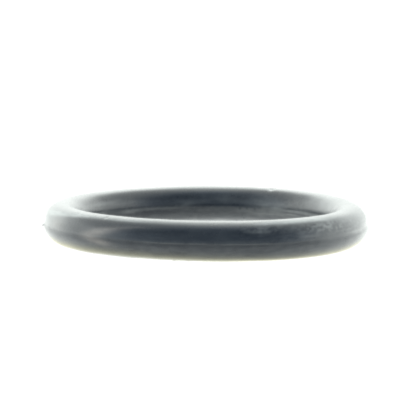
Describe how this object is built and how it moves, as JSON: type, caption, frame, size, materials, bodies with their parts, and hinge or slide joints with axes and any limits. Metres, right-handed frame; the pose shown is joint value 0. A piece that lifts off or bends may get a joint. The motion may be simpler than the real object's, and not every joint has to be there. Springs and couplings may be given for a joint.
{
  "type": "rubber o-ring",
  "caption": "Black rubber o-ring of round section, lying flat, with the thin parting ridge of its moulding inside and outside.",
  "frame": {"origin": "centre of the ring, halfway up its section", "axes": "+Z along the ring's axis, up from the surface that it lies on; +X to the right and +Y away in the picture"},
  "size_m": [0.0252, 0.0252, 0.003],
  "materials": {
    "rubber": "matte black moulded rubber with a slight bloom"
  },
  "bodies": {
    "root": {"o_ring": "rubber"}
  },
  "joints": []
}
